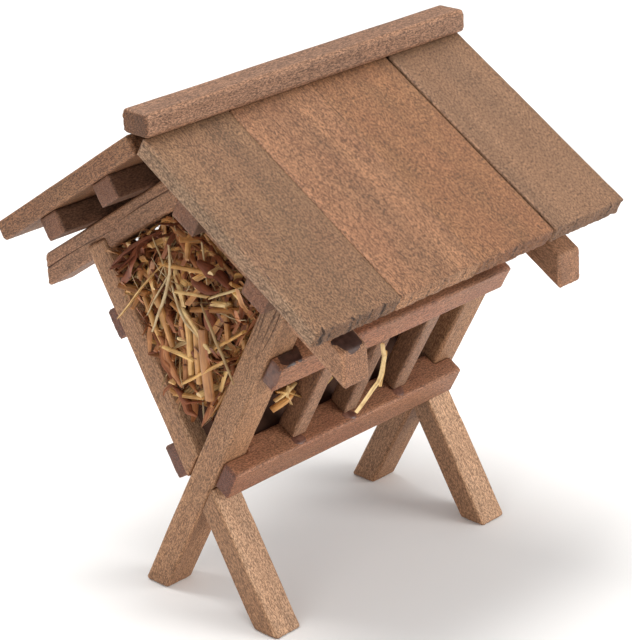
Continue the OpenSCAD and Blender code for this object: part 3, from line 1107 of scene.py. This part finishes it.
LEADING_LEAF = [
    (1.60, 0.10, [(-35.6, 5.4, 82.6), (-36.4, 12.0, 78.6), (-35.6, 21.4, 70.6)]),
    (1.20, 0.30, [(-35.4, 9.6, 80.8), (-36.0, 13.0, 75.6), (-35.4, 18.4, 71.8)]),
    (1.00, 0.20, [(-35.8, 11.6, 78.4), (-36.2, 15.2, 72.4), (-35.8, 18.8, 67.8)]),
    (0.85, 0.02, [(-35.6, -5.8, 79.0), (-35.6, -10.6, 78.0), (-35.0, -14.4, 75.6)]),
    (0.60, 0.12, [(-35.8, -3.6, 76.0), (-36.0, -7.4, 74.2), (-35.4, -11.0, 74.0)]),
    (0.60, 0.85, [(-35.8, 7.4, 60.4), (-36.2, 4.6, 55.4), (-35.4, 2.8, 50.4)]),
    (0.45, 0.65, [(-35.4, 9.2, 60.0), (-35.6, 6.6, 55.0), (-35.0, 4.2, 49.4)]),
    (0.35, 0.95, [(-35.9, 6.0, 59.6), (-36.3, 3.8, 54.0), (-35.7, 1.6, 50.0)]),
    (0.50, 0.45, [(-35.4, 4.8, 49.6), (-35.8, 0.6, 47.4), (-35.2, -3.6, 48.4)]),
    (0.45, 0.60, [(-35.6, 3.6, 48.6), (-35.8, 0.4, 45.8), (-35.2, -1.8, 44.8)]),
    (0.60, 0.30, [(-35.4, -7.0, 69.0), (-35.8, -9.0, 64.0)]),
]
leading = [
    placed_stems("hay_leading_straw", LEADING_STRAW, steps=12, sides=8, width=2.1 * MM, thickness=0.34,
                 curl=0.8, taper=0.1, bend=0.9 * MM, bend_scale=90.0, material=STRAW),
    placed_stems("hay_leading_grass", LEADING_GRASS, steps=12, sides=6, width=0.75 * MM, thickness=0.6,
                 curl=0.0, taper=0.4, bend=1.0 * MM, bend_scale=150.0, material=GRASS),
    placed_stems("hay_leading_leaf", LEADING_LEAF, steps=16, sides=10, width=4.4 * MM, thickness=0.08,
                 curl=0.7, taper=0.7, bend=2.2 * MM, bend_scale=260.0, material=LEAF),
]
print("leading pieces:", {o.name: len(o.data.polygons) for o in leading})

# %% [markdown]
# ## Glue
# The rack is glued, not nailed, and the glue has run out at some joints. It dried
# as dark glossy skins and small beads: on a rafter end, over the end of a rail and
# round the feet of the slats. The skins on the rafter end and on the rail top lie
# under the eave and are made near black, dark glue with painted shade added. A skin
# is lifted from the very surface that it lies on: the faces near a spot are copied,
# swelled in the middle and sunk at the rim, so that its outline is where it dives
# into the wood.

# %% The glue material


def glue_material(name, thin, thick, shine):
    """Dried glue, from a thin brown film to a thick dark drop. Colours are screen colours."""
    made, tree, shader = new_material(name)
    where = add_node(tree, "ShaderNodeTexCoord").outputs["Object"]
    cloud = noise(tree, where, 620.0, 3.0)
    dust = noise(tree, where, 2600.0, 2.0)
    colour = from_steps(tree, cloud, [(0.36, linear(thick)), (0.66, linear(thin))])
    specks = from_steps(tree, dust, [(0.35, (0.80, 0.78, 0.76)), (0.65, (1.18, 1.16, 1.14))])
    colour = blend_colour(tree, "MULTIPLY", 1.0, colour, specks)
    tree.links.new(colour, shader.inputs["Base Color"])
    tree.links.new(rescale(tree, cloud, 0.35, 0.65, shine, shine + 0.2), shader.inputs["Roughness"])
    add_bump(tree, shader, 0.4, 0.1, cloud)
    return made


# Painted shade: the near-black tones of this glue are dark glue made darker for the shade under the eave,
# where its skins lie.
GLUE_WITH_EAVE_SHADE = glue_material("dry_glue", (70, 44, 35), (46, 27, 22), 0.34)
SEALED = glue_material("sealed_end", (118, 82, 68), (86, 56, 45), 0.42)
SQUEEZED = glue_material("squeezed_glue", (124, 84, 68), (82, 48, 38), 0.36)
print("glue materials:", GLUE_WITH_EAVE_SHADE.name, SEALED.name, SQUEEZED.name)

# %% Lift glue from the wood
RIGHT_UP = Vector((0, -math.sin(LEAN), math.cos(LEAN)))
RIGHT_OUT = Vector((0, -math.cos(LEAN), -math.sin(LEAN)))
CROSSING = Vector((0, 0, FORK_Z))


def beside_right_leg(x, n, u):
    """A point given along the rack, out from the right-hand legs and up them."""
    return Vector((x, 0, 0)) + CROSSING + RIGHT_OUT * n + RIGHT_UP * u


def glue_skin(name, wood_name, centre, radius, facing, swell, seed, material):
    """A thin closed skin of glue over one finished piece of wood."""
    source = wooden[wood_name + "_shaped"]
    bm = bmesh.new()
    bm.from_mesh(source.data)
    bm.transform(Matrix.Scale(1 / MM, 4))
    far = [v for v in bm.verts if (v.co - centre).length > radius * 1.5]
    bmesh.ops.delete(bm, geom=far, context="VERTS")
    away = [f for f in bm.faces if f.normal.dot(facing) < 0.1]
    bmesh.ops.delete(bm, geom=away, context="FACES")
    mesh = mesh_from(bm, name)
    points, normal = positions(mesh), normals(mesh)
    reach = np.linalg.norm(points - np.array(centre), axis=1) / radius
    reach *= 1 + 0.3 * smooth_noise(points * 0.7, seed)
    reach += 0.12 * smooth_noise(points * 1.9, seed + 1)
    faced = soft_step(normal @ np.array(facing), 0.1, 0.65)
    lift = swell * (1 - np.clip(reach, 0, 1.3) ** 2) * faced - 0.08 - 0.12 * (1 - faced)
    move_to(mesh, points + normal * lift[:, None])
    obj = add_object(name, mesh)
    wall = obj.modifiers.new("wall", "SOLIDIFY")
    wall.thickness = 0.3
    wall.offset = -1
    smooth = obj.modifiers.new("smooth", "SUBSURF")
    smooth.levels = smooth.render_levels = 1
    settle(obj)
    obj.data.transform(Matrix.Scale(MM, 4))
    give_material(obj, material)
    obj.data.shade_smooth()
    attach(obj, "root")
    return obj


RAIL_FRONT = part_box("rail_right_upper")[0][0] / MM
rafter_low, rafter_high = [Vector(c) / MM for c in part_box("rafter_front_right")]
rafter_lip = Vector(((rafter_low.x + rafter_high.x) / 2, rafter_low.y, rafter_low.z + 7.31))
SLOPE_OUT = Vector((0, -math.sin(PITCH), math.cos(PITCH)))
down_slope = Vector((0, -math.cos(PITCH), -math.sin(PITCH)))
glue_pieces = [
    glue_skin("glue_rafter_end", "rafter_front_right", rafter_lip - down_slope * 2.6, 3.6,
              SLOPE_OUT, 0.30, 301, GLUE_WITH_EAVE_SHADE),
    glue_skin("glue_rail_end", "rail_right_upper", beside_right_leg(RAIL_FRONT, 4.8, 37.5), 4.2,
              Vector((-1, 0, 0)), 0.20, 302, SEALED),
    glue_skin("glue_rail_top", "rail_right_upper", beside_right_leg(-30.5, 4.4, 40.7), 3.4,
              RIGHT_UP, 0.24, 303, GLUE_WITH_EAVE_SHADE),
]
for n, x in enumerate((-14.9, 0.0, 14.9), 1):
    spot = beside_right_leg(x - 0.8, 5.4, 9.5)
    glue_pieces.append(glue_skin(f"glue_slat_foot_{n}", "rail_right_lower", spot, 1.7,
                                 RIGHT_UP, 0.34, 310 + n, SQUEEZED))
print("glue:", {o.name: len(o.data.polygons) for o in glue_pieces})
